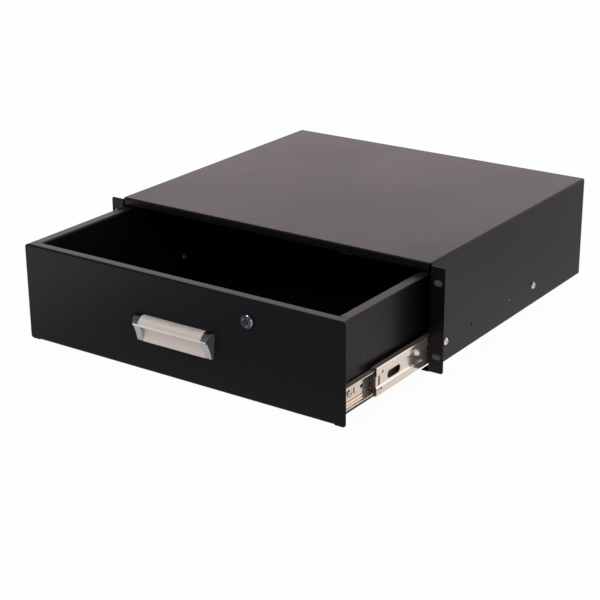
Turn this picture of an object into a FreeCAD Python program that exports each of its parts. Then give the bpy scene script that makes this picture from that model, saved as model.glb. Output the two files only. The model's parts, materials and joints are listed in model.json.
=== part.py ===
import FreeCAD, Part
import math
import os

# Sliding rack drawer, three rack units high, drawn in millimetres.
# X runs to the right, Y to the rear and Z up. Everything is drawn from the underside of the
# cabinet (Z = 0) and lowered on export, so that the origin is the centre of the four rack
# slots on the front face of the ears. The drawer is drawn partly open.

# ---- sheet metal
sheet = 1.2
fold_radius = 1.4
tight_fold_radius = 1.0

# ---- cabinet
rack_width = 482.6
body_height = 131.2
body_depth = 392.4
ear_width = 18.1
ear_height = 126.8
ear_corner_radius = 3.0
slot_inset = 8.75
slot_spacing_z = 88.9
slot_length = 10.4
slot_height = 6.8
slot_centre_height = 65.2
foot_flange_width = 11.0
lip_drop = 9.2
lip_corner_radius = 3.0
rear_flange_depth = 12.0
rear_panel_foot_gap = 2.8
spare_hole_radius = 1.5
spare_hole_setbacks = (98.3, 194.8)

# ---- drawer
drawer_open = 172.0
drawer_reach = 168.0
closed_panel_front = -2.2
panel_side_overlap = 1.6
panel_bottom = 0.4
panel_top_gap = 2.8
panel_corner_radius = 4.0
panel_flange_depth = 11.8
panel_flange_inset = 3.3
tray_rim_gap = 1.0
tray_rim_rise = 0.1
tray_rear_gap = 16.0
tray_rear_drop = 7.3
side_lip = 1.0
front_wall_foot = 12.0
wall_corner_clearance = 0.2
weld_mark_radius = 2.6
weld_mark_depth = 0.25
weld_mark_setback = 50.2
weld_mark_height = 60.4
rim_joint_gap = 0.3
panel_foot_inset = 13.8

# ---- slides
slide_length = 350.0
slide_thickness = 12.7
slide_height = 26.0
slide_setback = 2.5
cabinet_member_setback = 12.0
slide_sheet = 1.2
outer_ball_radius = 2.0
inner_ball_radius = 1.75
race_clearance = 0.08
outer_ball_offset = 4.3
drawer_member_half = 12.95
race_turn = 60.0
lip_turn = 100.0
middle_ratio = 0.63
middle_web_gap = 0.5
web_recess = 1.4
web_recess_half = 5.6
joggle_turn = 40.0
joggle_radius = 1.2
flange_tip_offset = 4.4
groove_turn = 25.0
groove_lead_radius = 0.9
groove_lead = 0.1
outer_cage_length = 125.0
inner_cage_length = 160.0
outer_cage_setback = 115.0
inner_cage_setback = 90.0
outer_ball_count = 4
inner_ball_count = 4
cage_thickness = 1.8
cage_wall_gap = 0.25
pocket_clearance = 0.1
middle_slot_length = 27.0
middle_slot_height = 9.3
middle_slot_setback = 37.5
button_radius = 2.6
button_rise = 0.3
button_setback = 81.0
button_height = 8.6
bumper_nose = 2.8
bumper_length = 11.8
bumper_depth = 4.6
bumper_half = 10.6
bumper_hollow_radius = 23.3
stud_width = 3.4
stud_setback = 6.8
stud_clearance = 0.15
stop_hole_radius = 1.9
stop_hole_setback = 11.6
stop_hole_height = 9.6
stop_slot_setback = 6.4
stop_slot_drop = 9.6
stop_slot_length = 9.0
stop_slot_width = 2.4
member_slot_setback = 33.5
member_slot_height = 8.0
member_hole_setback = 48.5
member_hole_length = 6.0
member_window_setbacks = (130.0, 185.0, 235.0)

# ---- screws
screw_radius = 2.0
screw_hole_clearance = 0.15
screw_head_radius = 4.3
screw_head_height = 2.2
drive_arm = 4.4
drive_width = 0.9
drive_depth = 1.2
cabinet_screw_setbacks = (24.5, 243.5)
channel_screw_setback = 24.5
tray_screw_setback = 268.5
thread_clearance = 0.05

# ---- handle
handle_offset = -1.2
handle_width = 112.5
handle_cap_width = 11.8
handle_top = 69.2
handle_bottom = 37.4
handle_lip_height = 58.6
handle_depth = 12.3
handle_wall = 1.6
handle_crown_depth = 10.6
handle_crown_rise = 5.3
handle_roof_depth = 8.1
handle_roof_rise = 4.4
handle_throat_drop = 2.5
handle_scoop_depth = 2.4
handle_scoop_height = 47.0
handle_cheek_depth = 6.9
handle_cheek_height = 50.5
handle_foot_depth = 3.8
handle_foot_rise = 2.8
handle_foot_chamfer = 1.2
cap_draft = 3.8
cap_taper = 2.6
handle_screw_spacing = 100.0
handle_screw_grip = 3.6

# ---- lock
lock_x = 99.5
lock_drop = 26.2
lock_flange_radius = 8.2
lock_flange_depth = 3.8
lock_flange_bevel = 1.2
lock_flange_edge = 1.5
lock_body_radius = 7.5
lock_body_length = 15.6
lock_flat_half = 6.6
plug_radius = 5.0
plug_clearance = 0.06
plug_proud = 0.5
key_slot_width = 1.5
key_slot_height = 7.4
key_slot_depth = 9.0
key_slot_tilt = 27.0
nut_across_flats = 19.0
nut_thickness = 3.4
cam_square = 6.0
cam_thickness = 2.0
cam_width = 13.0
cam_reach = 27.0
cam_gap = 0.2
cam_screw_length = 6.0
strike_width = 15.0
strike_drop = 15.2
strike_setback = 12.0
strike_foot = 13.0
strike_offset = 4.5

# ---- worked out from the sizes above
V = FreeCAD.Vector
ACROSS = V(1, 0, 0)
BACK = V(0, 1, 0)
UP = V(0, 0, 1)
body_width = rack_width - 2 * ear_width
slot_spacing_x = rack_width - 2 * slot_inset
inner_half = body_width / 2 - sheet
fold = fold_radius + sheet / 2
tight_fold = tight_fold_radius + sheet / 2
fold_depth = tight_fold_radius + sheet
panel_front = closed_panel_front - drawer_open
panel_back = panel_front + sheet
panel_width = body_width + 2 * panel_side_overlap
panel_top = body_height - lip_drop - panel_top_gap
lock_height = panel_top - lock_drop
tray_front = panel_back
tray_length = body_depth - 2 * sheet - tray_rear_gap - closed_panel_front
tray_back = tray_front + tray_length
tray_rim_top = panel_top + tray_rim_rise
tray_rear_height = tray_rim_top - tray_rear_drop
front_wall_top = panel_top - sheet - fold_radius
tray_half = inner_half - slide_thickness
tray_bottom = panel_bottom + sheet
outer_race = outer_ball_radius + race_clearance + slide_sheet / 2
inner_race = inner_ball_radius + race_clearance + slide_sheet / 2
inner_ball_height = drawer_member_half + inner_ball_radius + race_clearance
race_step = outer_race + inner_race
outer_ball_height = inner_ball_height + race_step * math.sin(math.radians(race_turn))
inner_ball_offset = outer_ball_offset + race_step * math.cos(math.radians(race_turn))
middle_travel = drawer_open * middle_ratio
outer_cage_travel = middle_travel / 2
inner_cage_travel = (middle_travel + drawer_open) / 2
middle_front = slide_setback - middle_travel
drawer_member_front = slide_setback - drawer_open
band_offset = slide_sheet + middle_web_gap
recess_offset = band_offset + web_recess
screw_hole_radius = screw_radius + screw_hole_clearance
lock_hole_radius = lock_body_radius + screw_hole_clearance
drawer_screw_setbacks = (channel_screw_setback, tray_screw_setback)
handle_middle = (handle_top + handle_bottom) / 2


def solid_of(shape):
    """The single clean solid of a fused shape."""
    clean = shape.removeSplitter()
    return clean.Solids[0] if len(clean.Solids) == 1 else clean


def box(x, y, z):
    """A block between the given pairs of limits."""
    block = Part.makeBox(x[1] - x[0], y[1] - y[0], z[1] - z[0])
    block.translate(V(x[0], y[0], z[0]))
    return block


def rod(centre, axis, radius, length):
    return Part.makeCylinder(radius, length, centre, axis)


def mirrored(shape):
    """The left-hand copy of a right-hand piece."""
    return shape.mirror(V(0, 0, 0), ACROSS)


def rounded(shape, radius, wanted):
    """Fillet the straight edges whose middle and direction pass the test."""
    edges = []
    for edge in shape.Edges:
        if isinstance(edge.Curve, Part.Line) and wanted(edge.CenterOfMass, edge.tangentAt(edge.FirstParameter)):
            edges.append(edge)
    return shape.makeFillet(radius, edges)


# Planes that profiles are drawn on: two drawing directions turned into points in space.
def across_section(a, b, level):
    return V(a, level, b)


def side_section(a, b, level):
    return V(level, a, b)


def plan_section(a, b, level):
    return V(a, b, level)


def slide_section(a, b, level):
    """a is measured from the cabinet wall towards the drawer, b from the slide's centre."""
    return V(inner_half - a, level, slide_height + b)


def folded_strip(plane, limits, start, heading, steps, thickness):
    """A folded sheet: its centre line is walked in straight runs and bends, then extruded.

    A step is a run's length, or a pair of a bend's radius and its turn in degrees,
    positive to the left.
    """
    position = V(start[0], start[1], 0)
    angle = math.radians(heading)
    sides = {1: [], -1: []}

    def ahead(turned):
        return V(math.cos(turned), math.sin(turned), 0)

    def beside(point, turned, side):
        offset = V(-math.sin(turned), math.cos(turned), 0) * (side * thickness / 2)
        spot = point + offset
        return plane(spot.x, spot.y, limits[0])

    first = [beside(position, angle, 1), beside(position, angle, -1)]
    for step in steps:
        if isinstance(step, tuple):
            radius, turn = step[0], math.radians(step[1])
            hand = 1 if turn > 0 else -1
            centre = position + V(-math.sin(angle), math.cos(angle), 0) * (hand * radius)
            stops = [angle, angle + turn / 2, angle + turn]
            points = [centre + V(math.sin(t), -math.cos(t), 0) * (hand * radius) for t in stops]
            for side in sides:
                arc = [beside(p, t, side) for p, t in zip(points, stops)]
                sides[side].append(Part.Arc(*arc).toShape())
            position, angle = points[2], angle + turn
        else:
            further = position + ahead(angle) * step
            for side in sides:
                sides[side].append(Part.makeLine(beside(position, angle, side), beside(further, angle, side)))
            position = further
    last = [beside(position, angle, 1), beside(position, angle, -1)]
    edges = sides[1] + sides[-1] + [Part.makeLine(*first), Part.makeLine(*last)]
    face = Part.Face(Part.Wire(Part.__sortEdges__(edges)))
    direction = plane(0, 0, limits[1]) - plane(0, 0, limits[0])
    return face.extrude(direction)


def profile_solid(plane, limits, edges):
    """Extrude a closed outline between two limits."""
    face = Part.Face(Part.Wire(Part.__sortEdges__(edges)))
    return face.extrude(plane(0, 0, limits[1]) - plane(0, 0, limits[0]))


def slot_cutter(centre, length, height, through, long_axis, deep_axis):
    """A slot with round ends, centred on a point and cut the given depth both ways."""
    radius = height / 2
    reach = (length - height) / 2
    start = centre - deep_axis * through
    ends = [rod(start + long_axis * s, deep_axis, radius, 2 * through) for s in (-reach, reach)]
    side_axis = long_axis.cross(deep_axis)
    corner = start - long_axis * reach - side_axis * radius
    far = corner + long_axis * (2 * reach)
    outline = [corner, far, far + side_axis * height, corner + side_axis * height, corner]
    middle = Part.Face(Part.makePolygon(outline)).extrude(deep_axis * (2 * through))
    return middle.fuse(ends)


def pan_head_screw(seat, axis, length):
    """A pan-head screw with a cross drive: its head stands behind the seat, its shank goes on."""
    head = rod(seat - axis * screw_head_height, axis, screw_head_radius, screw_head_height)
    crown = [e for e in head.Edges if (e.CenterOfMass - seat).dot(axis) < -screw_head_height / 2]
    crown = [e for e in crown if isinstance(e.Curve, Part.Circle)]
    head = head.makeChamfer(screw_head_height / 2, crown)
    screw = head.fuse(rod(seat, axis, screw_radius, length))
    side = UP if abs(axis.z) < 0.5 else ACROSS
    top = seat - axis * screw_head_height
    arms = []
    for long_way in (side, side.cross(axis)):
        short_way = long_way.cross(axis)
        corner = top - long_way * (drive_arm / 2) - short_way * (drive_width / 2)
        points = [corner, corner + long_way * drive_arm]
        points += [points[1] + short_way * drive_width, corner + short_way * drive_width, corner]
        arms.append(Part.Face(Part.makePolygon(points)).extrude(axis * drive_depth))
    return solid_of(screw.cut(arms))


# ---- cabinet

def cabinet_shell():
    """Top, sides and foot flanges folded from one sheet, with the ears and the front lip."""
    side_run = body_height - 2 * (fold + sheet / 2)
    top_run = body_width - 2 * (fold + sheet / 2)
    flange_run = foot_flange_width - fold - sheet / 2
    start = (-(body_width / 2 - foot_flange_width), sheet / 2)
    steps = [flange_run, (fold, -90), side_run, (fold, -90), top_run, (fold, -90), side_run, (fold, -90), flange_run]
    shell = folded_strip(across_section, (fold_depth, body_depth), start, 180, steps, sheet)

    ear_low = slot_centre_height - ear_height / 2
    ear_high = slot_centre_height + ear_height / 2
    ear_start = (inner_half + sheet / 2, fold_depth)
    ear_run = rack_width / 2 - inner_half - sheet / 2 - tight_fold
    ear = folded_strip(plan_section, (ear_low, ear_high), ear_start, -90, [(tight_fold, 90), ear_run], sheet)
    outer_x = rack_width / 2

    def outer_corner(middle, way):
        return abs(middle.x - outer_x) < 0.01 and abs(way.y) > 0.99

    ear = rounded(ear, ear_corner_radius, outer_corner)
    for level in (-1, 1):
        centre = V(slot_spacing_x / 2, 0, slot_centre_height + level * slot_spacing_z / 2)
        ear = ear.cut(slot_cutter(centre, slot_length, slot_height, 2 * sheet, ACROSS, BACK))

    lip_half = top_run / 2
    lip_run = lip_drop - tight_fold - sheet / 2
    lip = folded_strip(side_section, (-lip_half, lip_half), (fold_depth, body_height - sheet / 2), 180,
                       [(tight_fold, 90), lip_run], sheet)
    lip_low = body_height - lip_drop

    def lip_corner(middle, way):
        return abs(middle.z - lip_low) < 0.01 and abs(way.y) > 0.99

    lip = rounded(lip, lip_corner_radius, lip_corner)
    shell = shell.fuse([ear, mirrored(ear), lip])

    holes = []
    for setback in cabinet_screw_setbacks:
        centre = V(-body_width, cabinet_member_setback + setback, slide_height)
        holes.append(rod(centre, ACROSS, screw_hole_radius, 2 * body_width))
    for setback in spare_hole_setbacks:
        holes.append(rod(V(-body_width, setback, slide_height), ACROSS, spare_hole_radius, 2 * body_width))
    return solid_of(shell.cut(holes))


def rear_panel():
    """The back: a plate welded in by flanges along both sides and the top."""
    middle_y = body_depth - sheet / 2
    side_x = inner_half - sheet / 2
    flange_run = rear_flange_depth - tight_fold - sheet / 2
    across_run = 2 * (side_x - tight_fold)
    top = body_height - sheet - fold_radius
    pan = folded_strip(plan_section, (rear_panel_foot_gap, top), (-side_x, body_depth - rear_flange_depth), 90,
                       [flange_run, (tight_fold, -90), across_run, (tight_fold, -90), flange_run], sheet)
    top_half = side_x - 2 * tight_fold
    under_top = body_height - sheet - sheet / 2
    rise = 2 * fold_radius
    top_flange = folded_strip(side_section, (-top_half, top_half), (middle_y, under_top - tight_fold - rise), 90,
                              [rise, (tight_fold, 90), flange_run], sheet)
    return solid_of(pan.fuse(top_flange))


def lock_strike():
    """An angle welded under the top, whose hanging leg the lock's cam turns up behind."""
    left = lock_x + strike_offset - strike_width / 2
    foot_run = strike_foot - tight_fold
    drop_run = strike_drop - sheet - tight_fold - sheet / 2
    start = (strike_setback + sheet / 2 + strike_foot, body_height - sheet * 1.5)
    return folded_strip(side_section, (left, left + strike_width), start, 180,
                        [foot_run, (tight_fold, 90), drop_run], sheet)


# ---- slides, drawn for the right-hand side

def both_halves(half):
    """Add the lower half of a slide section, mirrored about the slide's centre."""
    other = half.mirror(V(0, 0, slide_height), UP)
    return half.fuse(other)


def web_hole(y, height, radius):
    start = V(inner_half - slide_thickness - slide_sheet, y, slide_height + height)
    return rod(start, ACROSS, radius, slide_thickness + 2 * slide_sheet)


def web_slot(y, height, length, width, long_axis):
    centre = V(inner_half - slide_thickness / 2, y, slide_height + height)
    return slot_cutter(centre, length, width, slide_thickness, long_axis, ACROSS)


def cabinet_member():
    """The fixed member: a channel whose lips curl round the outer rows of balls."""
    corner = tight_fold
    flange_level = outer_ball_height + outer_race
    steps = [flange_level - corner, (corner, -90), outer_ball_offset - slide_sheet / 2 - corner,
             (outer_race, -lip_turn)]
    ends = (cabinet_member_setback, cabinet_member_setback + slide_length)
    half = folded_strip(slide_section, ends, (slide_sheet / 2, 0), 90, steps, slide_sheet)
    member = both_halves(half)
    cuts = []
    for setback in cabinet_screw_setbacks:
        cuts.append(web_hole(cabinet_member_setback + setback, 0, screw_hole_radius))
    for setback in spare_hole_setbacks:
        cuts.append(web_slot(setback, 0, middle_slot_height, 2 * screw_radius, BACK))
    return solid_of(member.cut(cuts))


def middle_member():
    """The middle member: an S-shaped flange carries outer balls on top and inner balls below."""
    turn = math.radians(joggle_turn)
    slope = (web_recess - 2 * joggle_radius * (1 - math.cos(turn))) / math.sin(turn)
    joggle_height = 2 * joggle_radius * math.sin(turn) + slope * math.cos(turn)
    corner = slide_sheet
    band_middle = band_offset + slide_sheet / 2
    flange_level = outer_ball_height - outer_race
    band_run = flange_level - corner - web_recess_half - joggle_height
    steps = [web_recess_half, (joggle_radius, joggle_turn), slope, (joggle_radius, -joggle_turn), band_run,
             (corner, -90), outer_ball_offset - band_middle - corner,
             (outer_race, 90 - race_turn), (inner_race, -lip_turn - (90 - race_turn))]
    ends = (middle_front, middle_front + slide_length)
    start = (band_middle + web_recess, 0)
    member = both_halves(folded_strip(slide_section, ends, start, 90, steps, slide_sheet))
    rear = middle_front + slide_length
    cuts = [
        web_slot(middle_front + middle_slot_setback, 0, middle_slot_length, middle_slot_height, BACK),
        web_slot(rear - middle_slot_setback, 0, middle_slot_length, middle_slot_height, BACK),
        web_slot(middle_front + slide_length / 2, 0, middle_slot_length, middle_slot_height, BACK),
        web_slot(middle_front + stud_setback, 0, 2 * web_recess_half, stud_width, UP),
        web_hole(middle_front + stop_hole_setback, stop_hole_height, stop_hole_radius),
        web_slot(middle_front + stop_slot_setback, -stop_slot_drop, stop_slot_length, stop_slot_width, BACK),
    ]
    button_seat = slide_section(band_offset - button_rise, slide_height, 0).x
    button = rod(V(button_seat, middle_front + button_setback, slide_height + button_height), V(-1, 0, 0),
                 button_radius, button_rise + slide_sheet / 2)
    return solid_of(member.cut(cuts).fuse(button))


def middle_bumper():
    """The moulded stop at the mouth of the middle member, held by a stud through its web."""
    inner_face = recess_offset + slide_sheet
    outline_front = middle_front - bumper_nose
    outline_back = outline_front + bumper_length
    block = box((inner_half - inner_face - bumper_depth, inner_half - inner_face),
                (outline_front, outline_back), (slide_height - bumper_half, slide_height + bumper_half))
    hollow_centre = V(inner_half - inner_face - bumper_depth / 2 - bumper_hollow_radius,
                      outline_front - 1, slide_height)
    block = block.cut(rod(hollow_centre, BACK, bumper_hollow_radius, bumper_length + 2))
    stud = web_slot(middle_front + stud_setback, 0, 2 * (web_recess_half - stud_clearance),
                    stud_width - 2 * stud_clearance, UP)
    sleeve = box((inner_half - inner_face - bumper_depth / 4, inner_half - recess_offset),
                 (outline_front, outline_back), (0, 2 * slide_height))
    return solid_of(block.fuse(stud.common(sleeve)))


def drawer_member():
    """The moving member, screwed to the tray, with a shallow race along each flange."""
    turn = math.radians(groove_turn)
    corner = tight_fold
    web = slide_thickness - slide_sheet / 2
    drop = (groove_lead_radius + inner_race) * (1 - math.cos(turn)) + groove_lead * math.sin(turn)
    flange_level = drawer_member_half - slide_sheet / 2 + drop
    half_groove = (groove_lead_radius + inner_race) * math.sin(turn) + groove_lead * math.cos(turn)
    steps = [flange_level - corner, (corner, 90), web - corner - inner_ball_offset - half_groove,
             (groove_lead_radius, groove_turn), groove_lead, (inner_race, -2 * groove_turn), groove_lead,
             (groove_lead_radius, groove_turn), inner_ball_offset - half_groove - flange_tip_offset]
    ends = (drawer_member_front, drawer_member_front + slide_length)
    member = both_halves(folded_strip(slide_section, ends, (web, 0), 90, steps, slide_sheet))
    cuts = [web_hole(drawer_member_front + setback, 0, screw_hole_radius)
            for setback in drawer_screw_setbacks]
    cuts.append(web_slot(drawer_member_front + member_slot_setback, 0, member_slot_height, screw_radius, UP))
    cuts.append(web_slot(drawer_member_front + member_hole_setback, 0, member_hole_length,
                         2 * screw_radius, BACK))
    for setback in member_window_setbacks:
        cuts.append(web_slot(drawer_member_front + setback, 0, middle_slot_height, 2 * screw_radius, BACK))
    return solid_of(member.cut(cuts))


def ball_places(start, length, count):
    pitch = length / count
    return [start + pitch * (i + 0.5) for i in range(count)]


def ball_cage(start, length, count, offset, height, radius, inner_wall, outer_reach):
    """Two combs, over and under the slide's centre, whose fingers part the balls."""
    combs = []
    for side in (-1, 1):
        level = slide_height + side * height
        comb = box((inner_half - outer_reach, inner_half - inner_wall), (start, start + length),
                   (level - cage_thickness / 2, level + cage_thickness / 2))
        pockets = [rod(V(inner_half - offset, y, level - cage_thickness), UP, radius + pocket_clearance,
                       2 * cage_thickness) for y in ball_places(start, length, count)]
        combs.append(comb.cut(pockets))
    return Part.makeCompound(combs)


def ball_rows(start, length, count, offset, height, radius):
    balls = []
    for side in (-1, 1):
        for y in ball_places(start, length, count):
            balls.append(Part.makeSphere(radius, V(inner_half - offset, y, slide_height + side * height)))
    return Part.makeCompound(balls)


def outer_cage_place():
    return (outer_cage_setback - outer_cage_travel, outer_cage_length, outer_ball_count,
            outer_ball_offset, outer_ball_height, outer_ball_radius)


def inner_cage_place():
    return (inner_cage_setback - inner_cage_travel, inner_cage_length, inner_ball_count,
            inner_ball_offset, inner_ball_height, inner_ball_radius)


def cabinet_screws():
    """Pan-head screws from outside the cabinet into the fixed member."""
    screws = []
    for setback in cabinet_screw_setbacks:
        seat = V(body_width / 2, cabinet_member_setback + setback, slide_height)
        screws.append(pan_head_screw(seat, V(-1, 0, 0), sheet + slide_sheet + middle_web_gap))
    return Part.makeCompound(screws)


def drawer_screws():
    """One screw from the drawer member's channel into the tray, one from the tray into the member."""
    outer_seat = V(tray_half + slide_sheet, drawer_member_front + channel_screw_setback, slide_height)
    inner_seat = V(tray_half - sheet, drawer_member_front + tray_screw_setback, slide_height)
    length = slide_sheet + sheet
    return Part.makeCompound([pan_head_screw(outer_seat, V(-1, 0, 0), length),
                              pan_head_screw(inner_seat, ACROSS, length)])


# ---- drawer

def drawer_tray():
    """The floor: a plate welded between the lips of the two sides."""
    half = tray_half - sheet - fold_radius - side_lip
    return box((-half, half), (tray_front + fold_radius, tray_back), (tray_bottom, tray_bottom + sheet))


def tray_side():
    """The right-hand wall: a lip at the floor and an outward rim that covers the slide."""
    wall = tray_half - sheet / 2
    rim_run = inner_half - tray_rim_gap - wall - tight_fold
    wall_run = tray_rim_top - sheet / 2 - tight_fold - (tray_bottom + sheet / 2) - fold
    start = (wall - fold - side_lip, tray_bottom + sheet / 2)
    side = folded_strip(across_section, (tray_front, tray_back), start, 0,
                        [side_lip, (fold, 90), wall_run, (tight_fold, -90), rim_run], sheet)
    every_x = (-rack_width, rack_width)
    panel_fold_end = tray_front + fold_radius
    panel_flange_end = panel_front + panel_flange_depth + rim_joint_gap
    above = tray_rim_top + 1
    cuts = [
        box(every_x, (tray_front - 1, panel_fold_end), (0, tray_bottom + fold_radius)),
        box(every_x, (tray_front - 1, panel_fold_end), (front_wall_top, above)),
        box(every_x, (tray_front - 1, panel_flange_end), (panel_top - sheet, above)),
        box(every_x, (tray_back - fold_radius, tray_back + 1), (tray_rear_height, above)),
    ]
    for setback in drawer_screw_setbacks:
        centre = V(0, drawer_member_front + setback, slide_height)
        cuts.append(rod(centre, ACROSS, screw_hole_radius, body_width))
    mark = V(tray_half - weld_mark_depth, tray_front + weld_mark_setback, weld_mark_height)
    cuts.append(rod(mark, ACROSS, weld_mark_radius, weld_mark_depth + sheet))
    return solid_of(side.cut(cuts))


def tray_front_wall():
    """The wall behind the front panel, with a foot flange welded to the tray's floor."""
    half = tray_half - sheet
    foot_half = half - fold_radius
    middle_y = tray_front + sheet / 2
    bend_level = tray_bottom + sheet + fold + sheet / 2
    foot_run = front_wall_foot - fold - sheet / 2
    foot = folded_strip(side_section, (-foot_half, foot_half), (middle_y, bend_level + fold), -90,
                        [fold, (fold, 90), foot_run], sheet)
    plate = box((-half, half), (tray_front, tray_front + sheet), (bend_level, front_wall_top))
    cuts = [rod(V(lock_x, tray_front - sheet, lock_height), BACK, lock_hole_radius, 4 * sheet)]
    return solid_of(plate.fuse(foot).cut(cuts + handle_screw_holes()))


def tray_rear_wall():
    """A plate between the tray's walls, its lower corners rounded to sit in their bends."""
    half = tray_half - sheet
    low = tray_bottom + sheet
    plate = box((-half, half), (tray_back - sheet, tray_back), (low, tray_rear_height))

    def lower_corner(middle, way):
        return abs(way.y) > 0.99 and abs(middle.z - low) < 0.01

    return rounded(plate, fold_radius + wall_corner_clearance, lower_corner)


def handle_screw_holes():
    holes = []
    for side in (-1, 1):
        start = V(handle_offset + side * handle_screw_spacing / 2, panel_front - sheet, handle_middle)
        holes.append(rod(start, BACK, screw_hole_radius, 6 * sheet))
    return holes


def front_panel():
    """The face of the drawer, folded back along the top and the bottom."""
    half = panel_width / 2
    flange_half = half - panel_flange_inset
    run = panel_top - panel_bottom - 2 * (fold + sheet / 2)
    flange_run = panel_flange_depth - fold - sheet / 2
    outer_fold = fold + sheet / 2
    middle_y = panel_front + sheet / 2
    top = folded_strip(side_section, (-flange_half, flange_half), (middle_y, panel_top - 2 * outer_fold), 90,
                       [outer_fold, (fold, -90), flange_run], sheet)
    foot_half = half - panel_foot_inset
    foot = folded_strip(side_section, (-foot_half, foot_half), (middle_y, panel_bottom + 2 * outer_fold), -90,
                        [outer_fold, (fold, 90), flange_run], sheet)
    face = box((-half, half), (panel_front, panel_back), (panel_bottom, panel_top))

    def corner(middle, way):
        return abs(way.y) > 0.99 and abs(abs(middle.x) - half) < 0.01

    face = rounded(face, panel_corner_radius, corner)
    trim_depth = (panel_front - 1, panel_back)
    face = face.cut([box((-flange_half, flange_half), trim_depth, (panel_top - outer_fold, panel_top + 1)),
                     box((-foot_half, foot_half), trim_depth, (panel_bottom - 1, panel_bottom + outer_fold))])
    cuts = [rod(V(lock_x, panel_front - sheet, lock_height), BACK, lock_hole_radius, 4 * sheet)]
    return solid_of(face.fuse([top, foot]).cut(cuts + handle_screw_holes()))


# ---- handle

def handle_profile(x, scooped):
    """The pull's section: a crowned hood ending in a lip, over a finger rest or a solid cheek."""
    def point(depth, height):
        return V(x, panel_front - depth, height)

    lip = point(handle_depth, handle_lip_height)
    under_lip = point(handle_depth - handle_wall, handle_lip_height)
    throat = point(handle_wall, handle_lip_height - handle_throat_drop)
    foot = point(handle_foot_depth, handle_bottom + handle_foot_rise)
    crown = point(handle_crown_depth, handle_lip_height + handle_crown_rise)
    roof = point(handle_roof_depth, handle_lip_height + handle_roof_rise)
    scoop = point(handle_scoop_depth, handle_scoop_height)
    cheek = point(handle_cheek_depth, handle_cheek_height)
    corners = [foot, point(handle_foot_depth, handle_bottom + handle_foot_chamfer),
               point(handle_foot_depth - handle_foot_chamfer, handle_bottom),
               point(0, handle_bottom), point(0, handle_top)]
    edges = [Part.Arc(corners[-1], crown, lip).toShape(), Part.makeLine(lip, under_lip)]
    if scooped:
        edges += [Part.Arc(under_lip, roof, throat).toShape(), Part.Arc(throat, scoop, foot).toShape()]
    else:
        edges.append(Part.Arc(under_lip, cheek, foot).toShape())
    for near, far in zip(corners, corners[1:]):
        edges.append(Part.makeLine(near, far))
    return Part.Wire(Part.__sortEdges__(edges))


def handle_grip():
    """The drawn aluminium pull between its end caps."""
    half = handle_width / 2 - handle_cap_width
    return Part.Face(handle_profile(handle_offset - half, True)).extrude(ACROSS * (2 * half))


def handle_cap(side):
    """A cast end cap with a solid cheek; its outer end leans in towards the lip and the foot."""
    half = handle_width / 2
    cap = Part.Face(handle_profile(half - handle_cap_width, False)).extrude(ACROSS * handle_cap_width)
    foot_half = half - cap_taper
    beyond = half + cap_draft
    panel_side = [V(foot_half, panel_front, handle_bottom), V(beyond, panel_front, handle_bottom)]
    lip_level = panel_front - handle_depth
    lip_side = [V(beyond, lip_level, handle_bottom), V(foot_half - cap_draft, lip_level, handle_bottom)]
    plan = Part.Face(Part.makePolygon(panel_side + lip_side + panel_side[:1]))
    lean = plan.extrude(V(cap_taper, 0, handle_top - handle_bottom))
    pilot = rod(V(handle_screw_spacing / 2, panel_front, handle_middle), V(0, -1, 0),
                screw_radius + thread_clearance, handle_screw_grip)
    cap = solid_of(cap.cut([lean, pilot]))
    cap = cap if side > 0 else mirrored(cap)
    cap.translate(ACROSS * handle_offset)
    return cap


def handle_screws():
    """Screws through the tray and the panel into the two end caps."""
    screws = []
    for side in (-1, 1):
        seat = V(handle_offset + side * handle_screw_spacing / 2, tray_front + sheet, handle_middle)
        screws.append(pan_head_screw(seat, V(0, -1, 0), 2 * sheet + handle_screw_grip))
    return Part.makeCompound(screws)


# ---- lock

def lock_axis_point(y):
    return V(lock_x, panel_front + y, lock_height)


def lock_housing():
    """Flanged barrel with two flats, bored for the plug."""
    flange = Part.makeCone(lock_flange_radius - lock_flange_bevel, lock_flange_radius,
                           lock_flange_depth - lock_flange_edge, lock_axis_point(-lock_flange_depth), BACK)
    rim = rod(lock_axis_point(-lock_flange_edge), BACK, lock_flange_radius, lock_flange_edge)
    barrel = rod(lock_axis_point(0), BACK, lock_body_radius, lock_body_length)
    between_flats = box((lock_x - lock_flat_half, lock_x + lock_flat_half),
                        (panel_front, panel_front + lock_body_length),
                        (lock_height - lock_body_radius, lock_height + lock_body_radius))
    body = flange.fuse([rim, barrel.common(between_flats)])
    bore = rod(lock_axis_point(-lock_flange_depth - 1), BACK, plug_radius + plug_clearance,
               lock_flange_depth + lock_body_length + 2)
    return solid_of(body.cut(bore))


def lock_plug():
    """The turning plug with its key slot, and the square tail that carries the cam."""
    front = -lock_flange_depth - plug_proud
    plug = rod(lock_axis_point(front), BACK, plug_radius, lock_body_length - front)
    tail = box((lock_x - cam_square / 2, lock_x + cam_square / 2),
               (panel_front + lock_body_length, panel_front + lock_body_length + cam_gap + cam_thickness),
               (lock_height - cam_square / 2, lock_height + cam_square / 2))
    slot = box((lock_x - key_slot_width / 2, lock_x + key_slot_width / 2),
               (panel_front + front - 1, panel_front + front + key_slot_depth),
               (lock_height - key_slot_height / 2, lock_height + key_slot_height / 2))
    slot.rotate(lock_axis_point(0), BACK, -key_slot_tilt)
    thread = rod(cam_screw_seat(), V(0, -1, 0), screw_hole_radius, cam_screw_length + 1)
    return solid_of(plug.fuse(tail).cut([slot, thread]))


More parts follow.
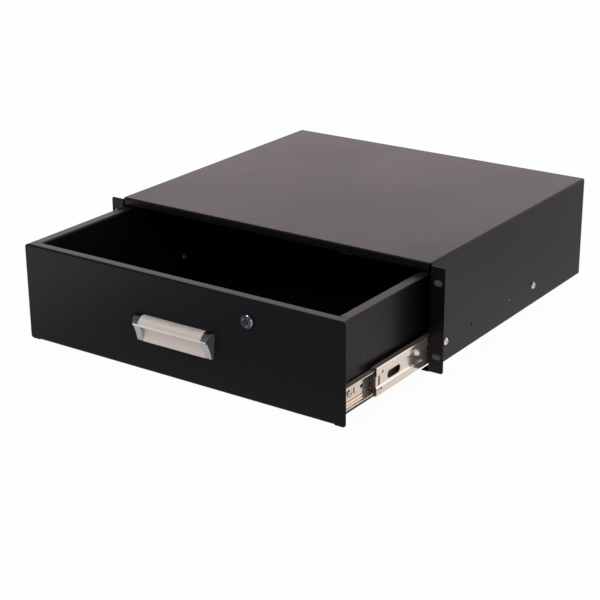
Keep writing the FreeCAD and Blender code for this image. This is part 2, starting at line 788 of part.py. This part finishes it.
def lock_nut():
    """The hexagon nut that clamps the housing to the tray's front wall."""
    seat = lock_axis_point(2 * sheet)
    corner_radius = nut_across_flats / math.sqrt(3)
    points = []
    for i in range(7):
        angle = math.radians(60 * i + 30)
        points.append(seat + V(corner_radius * math.cos(angle), 0, corner_radius * math.sin(angle)))
    nut = Part.Face(Part.makePolygon(points)).extrude(BACK * nut_thickness)
    bore = rod(seat - BACK, BACK, lock_body_radius + thread_clearance, nut_thickness + 2)
    return solid_of(nut.cut(bore))


def lock_cam():
    """The cam on the plug's tail; it points to the left when the lock is open."""
    y0 = lock_body_length + cam_gap
    hub = rod(lock_axis_point(y0), BACK, cam_width / 2, cam_thickness)
    arm = box((lock_x - cam_reach + cam_width / 4, lock_x), (panel_front + y0, panel_front + y0 + cam_thickness),
              (lock_height - cam_width / 2, lock_height + cam_width / 2))
    tip = box((lock_x - cam_reach, lock_x - cam_reach + cam_width / 2),
              (panel_front + y0, panel_front + y0 + cam_thickness),
              (lock_height - cam_width / 2, lock_height + cam_width / 2))

    def tip_corner(middle, way):
        return abs(way.y) > 0.99 and abs(middle.x - (lock_x - cam_reach)) < 0.01

    cam = hub.fuse([arm, rounded(tip, cam_width / 4, tip_corner)])
    square = box((lock_x - cam_square / 2, lock_x + cam_square / 2),
                 (panel_front + y0 - 1, panel_front + y0 + cam_thickness + 1),
                 (lock_height - cam_square / 2, lock_height + cam_square / 2))
    return solid_of(cam.cut(square))


def cam_screw():
    """The screw that holds the cam on the plug's tail."""
    return pan_head_screw(cam_screw_seat(), V(0, -1, 0), cam_screw_length)


def cam_screw_seat():
    return lock_axis_point(lock_body_length + cam_gap + cam_thickness)


def build_parts():
    parts = {
        "cabinet_shell": cabinet_shell(),
        "rear_panel": rear_panel(),
        "lock_strike": lock_strike(),
        "drawer_tray": drawer_tray(),
        "tray_front_wall": tray_front_wall(),
        "tray_rear_wall": tray_rear_wall(),
        "front_panel": front_panel(),
        "handle_grip": handle_grip(),
        "handle_cap_right": handle_cap(1),
        "handle_cap_left": handle_cap(-1),
        "handle_screws": handle_screws(),
        "lock_housing": lock_housing(),
        "lock_plug": lock_plug(),
        "lock_nut": lock_nut(),
        "lock_cam": lock_cam(),
        "cam_screw": cam_screw(),
    }
    outer = outer_cage_place()
    inner = inner_cage_place()
    paired = {
        "cabinet_member": cabinet_member(),
        "middle_member": middle_member(),
        "middle_bumper": middle_bumper(),
        "drawer_member": drawer_member(),
        "outer_cage": ball_cage(*outer, slide_sheet + cage_wall_gap, outer_ball_offset + outer_ball_radius / 2),
        "inner_cage": ball_cage(*inner, slide_sheet * 2 + middle_web_gap + cage_wall_gap,
                                inner_ball_offset + inner_ball_radius / 2),
        "outer_balls": ball_rows(*outer),
        "inner_balls": ball_rows(*inner),
        "cabinet_screws": cabinet_screws(),
        "drawer_screws": drawer_screws(),
        "tray_side": tray_side(),
    }
    for name, shape in paired.items():
        parts[name + "_right"] = shape
        parts[name + "_left"] = mirrored(shape)
    return parts


os.makedirs("parts", exist_ok=True)
for name, shape in build_parts().items():
    placed = shape.copy()
    placed.translate(V(0, 0, -slot_centre_height))
    placed.exportStep("parts/" + name + ".step")
    print(name, len(placed.Solids), "solid(s)", round(placed.Volume, 1), "mm3", placed.isValid())
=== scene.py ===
import json
import math

import bmesh
import bpy
from mathutils import Matrix, Vector
from mathutils.bvhtree import BVHTree


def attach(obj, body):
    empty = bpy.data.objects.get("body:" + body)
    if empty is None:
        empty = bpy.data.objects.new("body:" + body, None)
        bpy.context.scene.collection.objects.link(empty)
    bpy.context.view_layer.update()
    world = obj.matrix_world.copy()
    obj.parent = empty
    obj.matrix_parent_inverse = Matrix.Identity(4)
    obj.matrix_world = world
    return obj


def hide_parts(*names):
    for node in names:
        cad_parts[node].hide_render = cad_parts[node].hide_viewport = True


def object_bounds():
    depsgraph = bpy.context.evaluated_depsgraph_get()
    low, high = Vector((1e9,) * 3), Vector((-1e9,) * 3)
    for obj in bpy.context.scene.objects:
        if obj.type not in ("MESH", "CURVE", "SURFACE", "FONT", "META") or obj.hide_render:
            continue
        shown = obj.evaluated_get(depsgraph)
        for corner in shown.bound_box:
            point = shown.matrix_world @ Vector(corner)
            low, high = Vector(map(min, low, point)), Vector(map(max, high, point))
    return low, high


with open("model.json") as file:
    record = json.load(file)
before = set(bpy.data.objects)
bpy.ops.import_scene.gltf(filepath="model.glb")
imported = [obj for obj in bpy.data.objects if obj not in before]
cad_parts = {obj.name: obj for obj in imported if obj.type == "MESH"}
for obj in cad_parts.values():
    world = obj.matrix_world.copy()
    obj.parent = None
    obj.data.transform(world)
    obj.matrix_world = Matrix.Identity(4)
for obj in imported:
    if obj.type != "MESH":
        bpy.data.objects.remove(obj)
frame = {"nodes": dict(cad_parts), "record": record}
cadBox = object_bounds()

bodies = frame["record"]["behaviour"]["bodies"]
bodyOfNode = {node: body for body, nodes in bodies.items() for node in nodes}
slotOfNode = {part["node"]: part["material_slot"] for part in frame["record"]["subparts"]}


# A socket that can be added and multiplied: each use adds a Math node
class Wire:
    def __init__(self, finish, socket):
        self.finish = finish
        self.socket = socket

    def maths(self, operation, first, second):
        return self.finish.add("ShaderNodeMath", {"operation": operation}, {0: first, 1: second})

    def __add__(self, other):
        return self.maths("ADD", self, other)

    def __radd__(self, other):
        return self.maths("ADD", other, self)

    def __mul__(self, other):
        return self.maths("MULTIPLY", self, other)

    def __rmul__(self, other):
        return self.maths("MULTIPLY", other, self)


# The nodes of a material or of the world. add() makes any node; feed() wires the shader
class Finish:
    def __init__(self, owner):
        owner.use_nodes = True
        self.owner = owner
        self.tree = owner.node_tree
        self.shader = self.tree.nodes.get("Principled BSDF")

    def add(self, kind, settings=None, inputs=None, output=0):
        node = self.tree.nodes.new(kind)
        for name, value in (settings or {}).items():
            setattr(node, name, value)
        for socket, value in (inputs or {}).items():
            self.plug(node.inputs[socket], value)
        return Wire(self, node.outputs[output])

    def plug(self, socket, value):
        if isinstance(value, Wire):
            self.tree.links.new(value.socket, socket)
        else:
            socket.default_value = value

    def feed(self, sockets):
        for name, value in sockets.items():
            self.plug(self.shader.inputs[name], value)

    # Noise on Object coordinates, stretched by three scales per metre
    def noise(self, scale, detail=2.0, roughness=0.5):
        place = self.add("ShaderNodeTexCoord", output="Object")
        spot = self.add("ShaderNodeMapping", {}, {"Vector": place, "Scale": scale})
        return self.add("ShaderNodeTexNoise", {}, {"Vector": spot, "Scale": 1.0, "Detail": detail,
                                                   "Roughness": roughness})

    def blendColours(self, share, low, high):
        return self.blendWires(share, (*low, 1.0), (*high, 1.0))

    def blendWires(self, share, low, high):
        return self.add("ShaderNodeMix", {"data_type": "RGBA"}, {0: share, 6: low, 7: high}, output=2)

    # 0 where a value is at start, 1 where it is at full, eased between
    def rise(self, value, start, full):
        return self.add("ShaderNodeMapRange", {"interpolation_type": "SMOOTHSTEP"},
                        {"Value": value, "From Min": start, "From Max": full})

    def bump(self, height, distance, strength):
        return self.add("ShaderNodeBump", {}, {"Height": height, "Distance": distance, "Strength": strength})

    def along(self, vector, axis):
        return self.add("ShaderNodeSeparateXYZ", {}, {"Vector": vector}, output=axis)

    # 1 for one kind of ray, 0 for the others
    def isRay(self, kind):
        return self.add("ShaderNodeLightPath", output=f"Is {kind} Ray")


def newFinish(name, fixed):
    finish = Finish(bpy.data.materials.new(name))
    finish.feed(fixed)
    return finish


print("finishes")

coatLook = {
    "deep": (0.0058, 0.0058, 0.0070), "pale": (0.0096, 0.0094, 0.0107), "ior": 1.25,
    "cloudScale": (9.0, 9.0, 9.0), "peelScale": (900.0, 900.0, 900.0), "grainScale": (2700.0, 2700.0, 2700.0),
    "cloudShare": 0.7, "grainShare": 0.3,
    "gloss": 0.27, "cloudGloss": 0.08, "peelGloss": 0.08,
    "peelDepth": 0.00005, "grainHeight": 0.4, "bump": 0.5,
}


# Baked powder coat: clouded, with a fine orange peel and a finer grain
def makeBlackCoat():
    coat = newFinish("blackCoat", {"IOR": coatLook["ior"], "Metallic": 0.0})
    cloud = coat.noise(coatLook["cloudScale"], 3.0)
    peel = coat.noise(coatLook["peelScale"], 2.0, 0.6)
    grain = coat.noise(coatLook["grainScale"], 1.0)
    tone = cloud * coatLook["cloudShare"] + grain * coatLook["grainShare"]
    coat.feed({
        "Base Color": coat.blendColours(tone, coatLook["deep"], coatLook["pale"]),
        "Roughness": cloud * coatLook["cloudGloss"] + peel * coatLook["peelGloss"] + coatLook["gloss"],
        "Normal": coat.bump(peel + grain * coatLook["grainHeight"], coatLook["peelDepth"], coatLook["bump"]),
    })
    return coat.owner


zincLook = {
    "dark": (0.74, 0.67, 0.57), "light": (0.90, 0.83, 0.72), "metallic": 0.78,
    "lineScale": (1400.0, 14.0, 1400.0), "stainScale": (55.0, 30.0, 55.0),
    "stainShare": 0.7, "lineShare": 0.3,
    "gloss": 0.075, "stainGloss": 0.08, "lineGloss": 0.05,
    "lineDepth": 0.00001, "bump": 0.15,
}


# Bright zinc on rolled sections: rolling lines along the slide, and faint stains
def makeZincSteel():
    steel = newFinish("zincSteel", {"Metallic": zincLook["metallic"]})
    lines = steel.noise(zincLook["lineScale"], 2.0)
    stain = steel.noise(zincLook["stainScale"], 4.0, 0.6)
    tone = stain * zincLook["stainShare"] + lines * zincLook["lineShare"]
    steel.feed({
        "Base Color": steel.blendColours(tone, zincLook["dark"], zincLook["light"]),
        "Roughness": stain * zincLook["stainGloss"] + lines * zincLook["lineGloss"] + zincLook["gloss"],
        "Normal": steel.bump(lines, zincLook["lineDepth"], zincLook["bump"]),
    })
    return steel.owner


aluminiumLook = {
    "dark": (0.92, 0.83, 0.75), "light": (0.98, 0.90, 0.83), "metallic": 0.45,
    "lineScale": (22.0, 2600.0, 2600.0), "hazeScale": (40.0, 60.0, 60.0),
    "lineShare": 0.55, "hazeShare": 0.45,
    "gloss": 0.30, "hazeGloss": 0.10, "lineGloss": 0.10,
    "lineDepth": 0.00003, "bump": 0.4,
}


# Satin anodised extrusion: fine draw lines along the grip
def makeSatinAluminium():
    aluminium = newFinish("satinAluminium", {"Metallic": aluminiumLook["metallic"]})
    lines = aluminium.noise(aluminiumLook["lineScale"], 3.0)
    haze = aluminium.noise(aluminiumLook["hazeScale"], 2.0)
    tone = lines * aluminiumLook["lineShare"] + haze * aluminiumLook["hazeShare"]
    shine = haze * aluminiumLook["hazeGloss"] + lines * aluminiumLook["lineGloss"]
    aluminium.feed({
        "Base Color": aluminium.blendColours(tone, aluminiumLook["dark"], aluminiumLook["light"]),
        "Roughness": shine + aluminiumLook["gloss"],
        "Normal": aluminium.bump(lines, aluminiumLook["lineDepth"], aluminiumLook["bump"]),
    })
    return aluminium.owner


chromeLook = {
    "bright": ((0.60, 0.60, 0.64), (0.80, 0.81, 0.85)),
    # The second pair of tones is a painted dark reflection for the lock's forward faces
    "blued": ((0.035, 0.070, 0.105), (0.085, 0.125, 0.165)),
    "smearScale": (160.0, 160.0, 90.0), "scuffScale": (2600.0, 500.0, 2600.0),
    "gloss": 0.04, "smearGloss": 0.10, "scuffGloss": 0.04,
    "scuffDepth": 0.00001, "bump": 0.2,
}


# Polished plating with finger smears and fine scuffs
def makeChrome(name, tones):
    chrome = newFinish(name, {"Metallic": 1.0})
    smear = chrome.noise(chromeLook["smearScale"], 3.0, 0.6)
    scuff = chrome.noise(chromeLook["scuffScale"], 1.0)
    shine = smear * chromeLook["smearGloss"] + scuff * chromeLook["scuffGloss"]
    chrome.feed({
        "Base Color": chrome.blendColours(smear, *tones),
        "Roughness": shine + chromeLook["gloss"],
        "Normal": chrome.bump(scuff, chromeLook["scuffDepth"], chromeLook["bump"]),
    })
    return chrome.owner


ballLook = {
    "greased": (0.62, 0.61, 0.58), "clean": (0.80, 0.80, 0.81), "greaseScale": (420.0, 420.0, 420.0),
    "gloss": 0.05, "greaseGloss": 0.12,
}


def makeBallSteel():
    ball = newFinish("ballSteel", {"Metallic": 1.0})
    grease = ball.noise(ballLook["greaseScale"], 3.0)
    ball.feed({
        "Base Color": ball.blendColours(grease, ballLook["greased"], ballLook["clean"]),
        "Roughness": grease * ballLook["greaseGloss"] + ballLook["gloss"],
    })
    return ball.owner


plasticLook = {
    "black": ((0.030, 0.029, 0.031), (0.052, 0.050, 0.052)),
    "natural": ((0.55, 0.53, 0.48), (0.68, 0.66, 0.60)),
    "ior": 1.48, "flowScale": (70.0, 25.0, 70.0), "sparkScale": (3200.0, 3200.0, 3200.0),
    "flowShare": 0.8, "sparkShare": 0.2,
    "gloss": 0.36, "sparkGloss": 0.16, "flowGloss": 0.08,
    "sparkDepth": 0.00003, "bump": 0.4,
}


# Moulded plastic: flow marks, and the mould's spark-eroded grain
def makePlastic(name, tones):
    plastic = newFinish(name, {"IOR": plasticLook["ior"]})
    flow = plastic.noise(plasticLook["flowScale"], 3.0)
    spark = plastic.noise(plasticLook["sparkScale"], 1.0)
    tone = flow * plasticLook["flowShare"] + spark * plasticLook["sparkShare"]
    shine = spark * plasticLook["sparkGloss"] + flow * plasticLook["flowGloss"]
    plastic.feed({
        "Base Color": plastic.blendColours(tone, *tones),
        "Roughness": shine + plasticLook["gloss"],
        "Normal": plastic.bump(spark, plasticLook["sparkDepth"], plasticLook["bump"]),
    })
    return plastic.owner


finishes = {
    "black_coat": makeBlackCoat(),
    "zinc_steel": makeZincSteel(),
    "satin_aluminium": makeSatinAluminium(),
    "chrome": makeChrome("polishedChrome", chromeLook["bright"]),
    "ball_steel": makeBallSteel(),
    "black_plastic": makePlastic("blackPlastic", plasticLook["black"]),
    "cage_plastic": makePlastic("cagePlastic", plasticLook["natural"]),
}

# The lock's forward faces get a darker, bluer copy of the chrome than its rim: a painted dark reflection
bluedChrome = makeChrome("bluedChrome", chromeLook["blued"])
paintedReflectionNodes = ("lock_plug", "lock_housing")

print("pieces from the packed nodes")

# Lengths in metres, angles in degrees
dressing = {
    "mergeGap": 0.000005, "flatAngle": 0.3, "sharpAngle": 28.0, "segments": 2, "strayShare": 0.5,
    # How squarely a lock face must look forward to get the painted dark reflection
    "bluedFacing": 0.95,
}
edgeRound = {
    "black_coat": 0.00022, "zinc_steel": 0.00015, "satin_aluminium": 0.00025, "chrome": 0.0003,
    "ball_steel": 0.0, "black_plastic": 0.0003, "cage_plastic": 0.0002,
}


# Bevels the cut edges. Where very short edges meet, the bevel throws points off the surface;
# they go back to it.
def roundEdges(build, rounding):
    skin = BVHTree.FromBMesh(build)
    corner = math.radians(dressing["sharpAngle"])
    cutEdges = [edge for edge in build.edges
                if len(edge.link_faces) == 2 and edge.calc_face_angle() > corner]
    bmesh.ops.bevel(build, geom=cutEdges, offset=rounding, offset_type="OFFSET", affect="EDGES",
                    segments=dressing["segments"], profile=0.5, material=-1, clamp_overlap=False)
    for point in build.verts:
        nearest, _, _, distance = skin.find_nearest(point.co)
        if distance > rounding * dressing["strayShare"]:
            point.co = nearest


# A node's mesh, merged, with its cut edges rounded and its bends shaded smooth
def dress(node, rounding):
    build = bmesh.new()
    build.from_mesh(frame["nodes"][node].data)
    bmesh.ops.remove_doubles(build, verts=build.verts, dist=dressing["mergeGap"])
    bmesh.ops.dissolve_limit(build, angle_limit=math.radians(dressing["flatAngle"]), verts=build.verts,
                             edges=build.edges)
    if rounding > 0.0:
        roundEdges(build, rounding)
    for face in build.faces:
        face.smooth = True
    mesh = bpy.data.meshes.new(node + "Dressed")
    build.to_mesh(mesh)
    build.free()
    mesh.set_sharp_from_angle(angle=math.radians(dressing["sharpAngle"]))
    return mesh


def paint(mesh, node):
    mesh.materials.clear()
    mesh.materials.append(finishes[slotOfNode[node]])
    # Lock faces that look forward take the darker chrome, a painted dark reflection
    if node in paintedReflectionNodes:
        mesh.materials.append(bluedChrome)
        for face in mesh.polygons:
            face.material_index = int(face.normal.y < -dressing["bluedFacing"])


def addPiece(name, mesh, node):
    piece = bpy.data.objects.new(name, mesh)
    bpy.context.scene.collection.objects.link(piece)
    paint(mesh, node)
    shading = piece.modifiers.new("flatFaces", "WEIGHTED_NORMAL")
    shading.keep_sharp = True
    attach(piece, bodyOfNode[node])
    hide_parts(node)


def pieceName(node):
    words = node.split("_")
    return words[0] + "".join(word.capitalize() for word in words[1:]) + "Finished"


for node in frame["nodes"]:
    addPiece(pieceName(node), dress(node, edgeRound[slotOfNode[node]]), node)

print("studio")

studio = {
    "floorReach": 30.0, "floorDrop": 0.0002, "floorTones": ((0.74, 0.735, 0.74), (0.78, 0.775, 0.78)),
    "toneScale": (3.0, 3.0, 3.0), "roughness": 0.9, "specular": 0.1,
    "backdrop": (1.0, 1.0, 1.0), "seenShare": 0.97, "fill": (0.34, 0.34, 0.35),
}

# What mirrored rays find: a bright sweep behind, a dim room in front and overhead.
# Each pair gives where a change starts and where it is full: in metres on the floor, and as
# a share of the ray's direction for the room.
mirroredRoom = {
    "share": 0.92,
    "floorAhead": (0.20, 0.19, 0.21), "floorLeft": (1.40, 1.34, 1.40),
    "floorBehind": (0.98, 0.94, 0.95), "floorFar": (0.72, 0.70, 0.72),
    "leftwards": (-0.10, -0.45), "backwards": (-0.35, 0.0), "farOff": (0.10, 0.55),
    "roomAhead": (0.13, 0.13, 0.14), "sweepBehind": (1.75, 1.50, 1.60), "ceiling": (0.09, 0.09, 0.095),
    "sweep": (-0.25, 0.25), "overhead": (0.44, 0.60),
}


# The floor's tone as polished faces show it, by the place on the floor
def mirroredFloor(paper):
    place = paper.add("ShaderNodeTexCoord", output="Object")
    across = paper.along(place, "X")
    depth = paper.along(place, "Y")
    left = paper.rise(across, *mirroredRoom["leftwards"])
    behind = paper.rise(depth, *mirroredRoom["backwards"])
    far = paper.rise(depth, *mirroredRoom["farOff"])
    ahead = paper.blendColours(left, mirroredRoom["floorAhead"], mirroredRoom["floorLeft"])
    rear = paper.blendColours(far, mirroredRoom["floorBehind"], mirroredRoom["floorFar"])
    return paper.blendWires(behind, ahead, rear)


# Paper that takes the shadow, washed out to the backdrop's white for the camera
def makeFloorPaper():
    paper = newFinish("floorPaper", {"Roughness": studio["roughness"],
                                     "Specular IOR Level": studio["specular"]})
    tone = paper.noise(studio["toneScale"])
    paper.feed({"Base Color": paper.blendColours(tone, *studio["floorTones"])})
    seen = paper.isRay("Camera") + paper.isRay("Transmission")
    glossy = paper.isRay("Glossy")
    shown = paper.blendWires(glossy, (*studio["backdrop"], 1.0), mirroredFloor(paper))
    glow = paper.add("ShaderNodeEmission", {}, {"Color": shown, "Strength": 1.0})
    washed = seen * studio["seenShare"] + glossy * mirroredRoom["share"]
    matt = Wire(paper, paper.shader.outputs[0])
    surface = paper.add("ShaderNodeMixShader", {}, {0: washed, 1: matt, 2: glow})
    paper.plug(paper.tree.nodes["Material Output"].inputs["Surface"], surface)
    return paper.owner


def makeFloor():
    build = bmesh.new()
    bmesh.ops.create_grid(build, x_segments=1, y_segments=1, size=studio["floorReach"])
    bmesh.ops.translate(build, verts=build.verts, vec=(0.0, 0.0, cadBox[0][2] - studio["floorDrop"]))
    mesh = bpy.data.meshes.new("floor")
    build.to_mesh(mesh)
    build.free()
    mesh.materials.append(makeFloorPaper())
    floor = bpy.data.objects.new("floor", mesh)
    bpy.context.scene.collection.objects.link(floor)


# White behind the object; mirrored rays find it dimmer high up, where a studio has its ceiling
def makeWorld():
    world = bpy.data.worlds.new("studioWorld")
    bpy.context.scene.world = world
    sky = Finish(world)
    way = sky.add("ShaderNodeTexCoord", output="Generated")
    high = sky.rise(sky.along(way, "Z"), *mirroredRoom["overhead"])
    behind = sky.rise(sky.along(way, "Y"), *mirroredRoom["sweep"])
    room = sky.blendColours(behind, mirroredRoom["roomAhead"], mirroredRoom["sweepBehind"])
    mirrored = sky.blendWires(high, room, (*mirroredRoom["ceiling"], 1.0))
    lit = sky.blendWires(sky.isRay("Glossy"), (*studio["fill"], 1.0), mirrored)
    seen = sky.isRay("Camera") + sky.isRay("Transmission")
    colour = sky.blendWires(seen, lit, (*studio["backdrop"], 1.0))
    sky.plug(sky.tree.nodes["Background"].inputs["Color"], colour)


# Places in metres; a lamp that isn't mirrored lights the object but isn't seen in its gloss
lamps = {
    "overheadLamp": {"place": (-0.3, 0.5, 2.2), "aim": (0.0, 0.0, 0.0), "size": (1.6, 1.2), "watts": 18.0,
                     "mirrored": True},
    "leftLamp": {"place": (-1.9, -1.2, 1.7), "aim": (0.0, 0.0, 0.0), "size": (1.3, 1.3), "watts": 40.0,
                 "mirrored": False},
    "rightLamp": {"place": (2.2, -0.9, 1.1), "aim": (0.0, -0.1, 0.0), "size": (0.3, 0.3), "watts": 2.5,
                  "mirrored": True},
}


def makeLamp(name, look):
    data = bpy.data.lights.new(name, "AREA")
    data.shape = "RECTANGLE"
    data.size, data.size_y = look["size"]
    data.energy = look["watts"]
    lamp = bpy.data.objects.new(name, data)
    bpy.context.scene.collection.objects.link(lamp)
    lamp.location = look["place"]
    lamp.visible_glossy = look["mirrored"]
    beam = Vector(look["aim"]) - Vector(look["place"])
    lamp.rotation_euler = beam.to_track_quat("-Z", "Y").to_euler()


# Place in metres, angles in degrees, lens and sensor in millimetres
cameraLook = {
    "place": (1.03331, -1.41577, 0.64958), "yaw": -34.876, "pitch": 21.054, "roll": -0.389,
    "lens": 93.96, "sensor": 36.0,
}


def makeCamera():
    yaw, pitch = math.radians(cameraLook["yaw"]), math.radians(cameraLook["pitch"])
    ahead = Vector((math.sin(yaw) * math.cos(pitch), math.cos(yaw) * math.cos(pitch), -math.sin(pitch)))
    right = Vector((math.cos(yaw), -math.sin(yaw), 0.0))
    up = right.cross(ahead)
    roll = Matrix.Rotation(math.radians(-cameraLook["roll"]), 3, ahead)
    turn = Matrix((roll @ right, roll @ up, -ahead)).transposed()
    data = bpy.data.cameras.new("camera")
    data.lens = cameraLook["lens"]
    data.sensor_width = cameraLook["sensor"]
    camera = bpy.data.objects.new("camera", data)
    bpy.context.scene.collection.objects.link(camera)
    camera.matrix_world = Matrix.Translation(cameraLook["place"]) @ turn.to_4x4()
    bpy.context.scene.camera = camera


makeFloor()
makeWorld()
for name, look in lamps.items():
    makeLamp(name, look)
makeCamera()
bpy.context.scene.view_settings.view_transform = "Standard"
